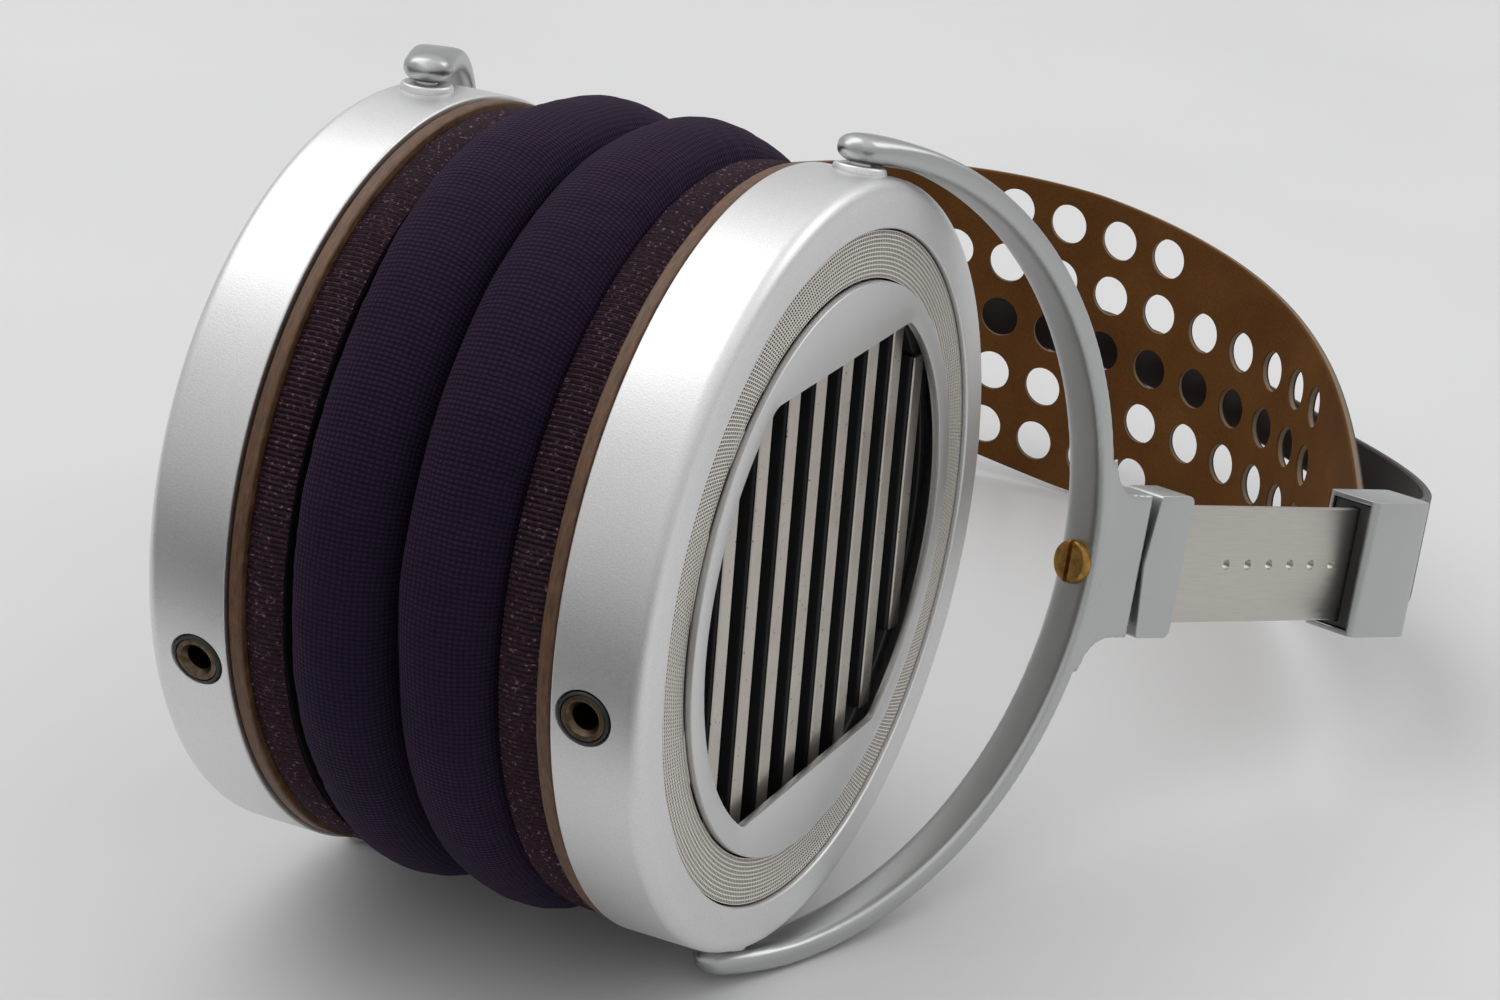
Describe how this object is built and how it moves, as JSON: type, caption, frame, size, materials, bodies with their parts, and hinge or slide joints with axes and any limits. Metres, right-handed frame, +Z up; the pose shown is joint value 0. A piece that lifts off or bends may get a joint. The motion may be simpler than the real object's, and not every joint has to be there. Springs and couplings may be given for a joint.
{
  "type": "over ear headphones",
  "caption": "Over-ear headphones with round open-backed cups, yokes, slider stems, a spring arch and a wide perforated suspension strap.",
  "frame": {"origin": "middle of the footprint, on the surface that the headset lies on", "axes": "+Z up from the surface, +X out of the right cup's grille, +Y from the cups towards the headband"},
  "size_m": [0.1768, 0.2562, 0.1157],
  "materials": {
    "aluminium_beadblasted": "bead blasted, satin",
    "perforated_mesh": "fine perforated, matt beige grey",
    "magnet_bars": "satin light beige",
    "black_trim": "matt black",
    "diaphragm_film": "thin translucent film with printed conductor",
    "wood_veneer": "oiled dark walnut",
    "elastic_band": "ribbed burgundy elastic",
    "pad_knit": "fine dark purple knit",
    "brass_fittings": "satin brass",
    "slider_steel": "fine brushed, warm",
    "spring_band": "dark brown satin",
    "strap_leather": "brown suede side in, smooth side out"
  },
  "bodies": {
    "headband": {"arch": "spring_band", "strap": "strap_leather", "right_end_block": "aluminium_beadblasted", "right_slot_liner": "black_trim", "left_end_block": "aluminium_beadblasted", "left_slot_liner": "black_trim"},
    "right_stem": {"right_stem_block": "aluminium_beadblasted", "right_slider_plate": "slider_steel"},
    "right_yoke": {"right_yoke": "aluminium_beadblasted", "right_swivel_screw": "brass_fittings"},
    "right_cup": {"right_cup_ring": "aluminium_beadblasted", "right_mesh_annulus": "perforated_mesh", "right_grille_plate": "aluminium_beadblasted", "right_outer_magnets": "magnet_bars", "right_inner_magnets": "magnet_bars", "right_driver_frame": "black_trim", "right_diaphragm": "diaphragm_film", "right_veneer_ring": "wood_veneer", "right_baffle": "black_trim", "right_pad_band": "elastic_band", "right_ear_pad": "pad_knit", "right_jack_housing": "black_trim", "right_jack_sleeve": "brass_fittings", "right_driver_lead": "black_trim", "right_upper_pivot": "aluminium_beadblasted", "right_lower_pivot": "aluminium_beadblasted"},
    "left_stem": {"left_stem_block": "aluminium_beadblasted", "left_slider_plate": "slider_steel"},
    "left_yoke": {"left_yoke": "aluminium_beadblasted", "left_swivel_screw": "brass_fittings"},
    "left_cup": {"left_cup_ring": "aluminium_beadblasted", "left_mesh_annulus": "perforated_mesh", "left_grille_plate": "aluminium_beadblasted", "left_outer_magnets": "magnet_bars", "left_inner_magnets": "magnet_bars", "left_driver_frame": "black_trim", "left_diaphragm": "diaphragm_film", "left_veneer_ring": "wood_veneer", "left_baffle": "black_trim", "left_pad_band": "elastic_band", "left_ear_pad": "pad_knit", "left_jack_housing": "black_trim", "left_jack_sleeve": "brass_fittings", "left_driver_lead": "black_trim", "left_upper_pivot": "aluminium_beadblasted", "left_lower_pivot": "aluminium_beadblasted"}
  },
  "joints": [
    {"name": "right_height", "type": "slide", "parent": "headband", "child": "right_stem", "axis": [0.3987, 0.8928, -0.2094], "range_m": [0, 0.03]},
    {"name": "right_swivel", "type": "hinge", "parent": "right_stem", "child": "right_yoke", "pos_m": [0.0309, -0.07394, 0.05812], "axis": [0.3987, 0.8928, -0.2094], "range_deg": [-10, 10], "deforming": ["right_ear_pad"]},
    {"name": "right_tilt", "type": "hinge", "parent": "right_yoke", "child": "right_cup", "pos_m": [0.0309, -0.07394, 0.05812], "axis": [0, 0.2284, 0.9736], "range_deg": [-10, 10], "deforming": ["right_ear_pad"]},
    {"name": "left_height", "type": "slide", "parent": "headband", "child": "left_stem", "axis": [-0.3987, 0.914, -0.0751], "range_m": [0, 0.03]},
    {"name": "left_swivel", "type": "hinge", "parent": "left_stem", "child": "left_yoke", "pos_m": [-0.0309, -0.07394, 0.05812], "axis": [-0.3987, 0.914, -0.0751], "range_deg": [-10, 10], "deforming": ["left_ear_pad"]},
    {"name": "left_tilt", "type": "hinge", "parent": "left_yoke", "child": "left_cup", "pos_m": [-0.0309, -0.07394, 0.05812], "axis": [0, 0.0819, 0.9966], "range_deg": [-10, 10], "deforming": ["left_ear_pad"]}
  ]
}
